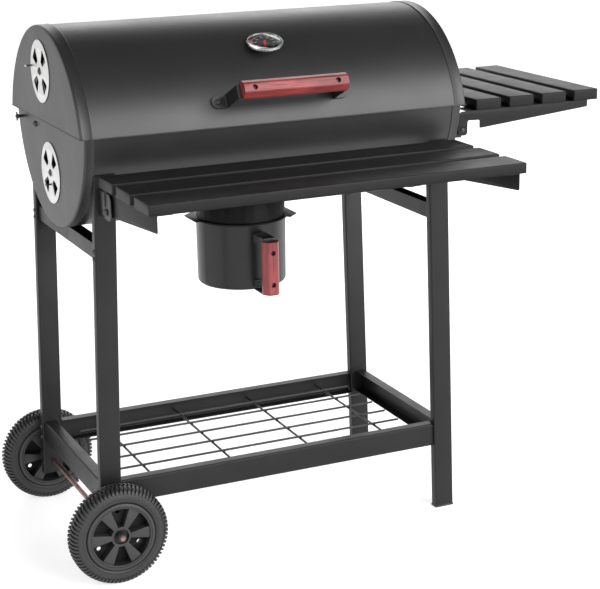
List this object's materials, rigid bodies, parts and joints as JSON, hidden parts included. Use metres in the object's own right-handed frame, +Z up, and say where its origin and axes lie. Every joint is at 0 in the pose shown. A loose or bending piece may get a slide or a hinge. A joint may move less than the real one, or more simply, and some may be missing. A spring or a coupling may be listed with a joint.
{
  "type": "barrel charcoal grill trolley",
  "caption": "Barrel charcoal grill with hinged lid, round vents, thermometer, ash pot, wire rack, wheels, and folding front and side shelves.",
  "frame": {"origin": "centre of the bounding box at floor level", "axes": "+X along the barrel toward the side shelf, -Y toward the front shelf, +Z up"},
  "size_m": [1.199, 0.772, 1.051],
  "materials": {
    "frame_paint": "satin black powder coat on steel tube and channel",
    "rack_wire": "black coated steel wire",
    "barrel_paint": "matt black heat-resistant paint on sheet steel",
    "pot_paint": "satin black heat-resistant paint",
    "strap_paint": "satin black paint on bent flat bar",
    "shelf_paint": "fine textured black powder coat on folded sheet",
    "black_hardware": "blackened steel bolts and pins",
    "bright_hardware": "zinc plated steel",
    "vent_metal": "plated sheet steel",
    "axle_steel": "bare steel rod with a brown tone",
    "grate_iron": "dark steel rod",
    "grate_chrome": "plated steel rod",
    "red_wood": "red-brown stained and varnished hardwood",
    "bezel_chrome": "polished",
    "dial_face": "printed black dial",
    "needle_red": "red paint",
    "dial_glass": "clear",
    "wheel_plastic": "moulded black plastic",
    "tyre_black": "black moulded tread",
    "foot_plastic": "moulded black plastic"
  },
  "bodies": {
    "trolley": {"legs_left": "frame_paint", "legs_right": "frame_paint", "upper_cross_bars": "frame_paint", "rack_long_rails": "frame_paint", "rack_side_rails": "frame_paint", "wire_rack": "rack_wire", "bowl_shell": "barrel_paint", "bowl_end_left": "barrel_paint", "bowl_end_right": "barrel_paint", "ash_collar": "pot_paint", "shelf_hangers": "strap_paint", "side_mounts": "strap_paint", "bowl_hinge_leaves": "strap_paint", "axle_caps": "black_hardware", "frame_bolts": "black_hardware", "hanger_bolts": "black_hardware", "wing_bolts": "black_hardware", "hinge_pins": "black_hardware", "bowl_vent_rivet": "black_hardware", "axle_washers": "bright_hardware", "axle": "axle_steel", "charcoal_grate": "grate_iron", "grate_ledges": "grate_iron", "foot_caps": "foot_plastic"},
    "lid": {"lid_shell": "barrel_paint", "lid_end_left": "barrel_paint", "lid_end_right": "barrel_paint", "lid_hinge_leaves": "strap_paint", "lid_handle_strap": "strap_paint", "lid_grip": "red_wood", "lid_handle_screws": "black_hardware", "lid_vent_rivet": "black_hardware", "thermo_case": "bezel_chrome", "thermo_dial": "dial_face", "thermo_glass": "dial_glass", "thermo_stem": "bright_hardware"},
    "lid_vent": {"lid_vent_disc": "vent_metal"},
    "bowl_vent": {"bowl_vent_disc": "vent_metal"},
    "needle": {"thermo_needle": "needle_red"},
    "front_wheel": {"wheel_front": "wheel_plastic", "tyre_front": "tyre_black"},
    "back_wheel": {"wheel_back": "wheel_plastic", "tyre_back": "tyre_black"},
    "front_shelf": {"front_shelf_slats": "shelf_paint", "front_shelf_brackets": "shelf_paint", "front_shelf_pins": "black_hardware"},
    "side_shelf": {"side_shelf_slats": "shelf_paint", "side_shelf_brackets": "shelf_paint", "side_shelf_pins": "black_hardware"},
    "pot": {"ash_pot": "pot_paint", "pot_strap": "strap_paint", "pot_grip": "red_wood", "pot_screws": "black_hardware"},
    "left_grate": {"grate_left": "grate_chrome"},
    "right_grate": {"grate_right": "grate_chrome"}
  },
  "joints": [
    {"name": "lid_hinge", "type": "hinge", "parent": "trolley", "child": "lid", "pos_m": [-0.1315, 0.357, 0.866], "axis": [-1, 0, 0], "range_deg": [0, 90]},
    {"name": "lid_vent_turn", "type": "hinge", "parent": "lid", "child": "lid_vent", "pos_m": [-0.534, 0.122, 0.963], "axis": [1, 0, 0], "range_deg": [0, 45]},
    {"name": "bowl_vent_turn", "type": "hinge", "parent": "trolley", "child": "bowl_vent", "pos_m": [-0.5245, 0.122, 0.765], "axis": [1, 0, 0], "range_deg": [0, 45]},
    {"name": "needle_turn", "type": "hinge", "parent": "lid", "child": "needle", "pos_m": [-0.13443, -0.03823, 1.00886], "axis": [-0.1132, -0.3561, 0.9276], "range_deg": [-250, 0], "stiffness_Nm_per_rad": 0.002},
    {"name": "front_wheel_spin", "type": "hinge", "parent": "trolley", "child": "front_wheel", "pos_m": [-0.5005, -0.124, 0.099], "axis": [0, 1, 0], "continuous": true},
    {"name": "back_wheel_spin", "type": "hinge", "parent": "trolley", "child": "back_wheel", "pos_m": [-0.5005, 0.357, 0.099], "axis": [0, 1, 0], "continuous": true},
    {"name": "front_shelf_fold", "type": "hinge", "parent": "trolley", "child": "front_shelf", "pos_m": [-0.1315, -0.131, 0.735], "axis": [1, 0, 0], "range_deg": [0, 90]},
    {"name": "side_shelf_fold", "type": "hinge", "parent": "trolley", "child": "side_shelf", "pos_m": [0.2765, 0.1145, 0.81], "axis": [0, 1, 0], "range_deg": [0, 90]},
    {"name": "ash_pot_drop", "type": "slide", "parent": "trolley", "child": "pot", "axis": [0, 0, -1], "range_m": [0, 0.11]},
    {"name": "left_grate_lift", "type": "slide", "parent": "trolley", "child": "left_grate", "axis": [0, 0, 1], "range_m": [0, 0.05]},
    {"name": "right_grate_lift", "type": "slide", "parent": "trolley", "child": "right_grate", "axis": [0, 0, 1], "range_m": [0, 0.05]}
  ]
}
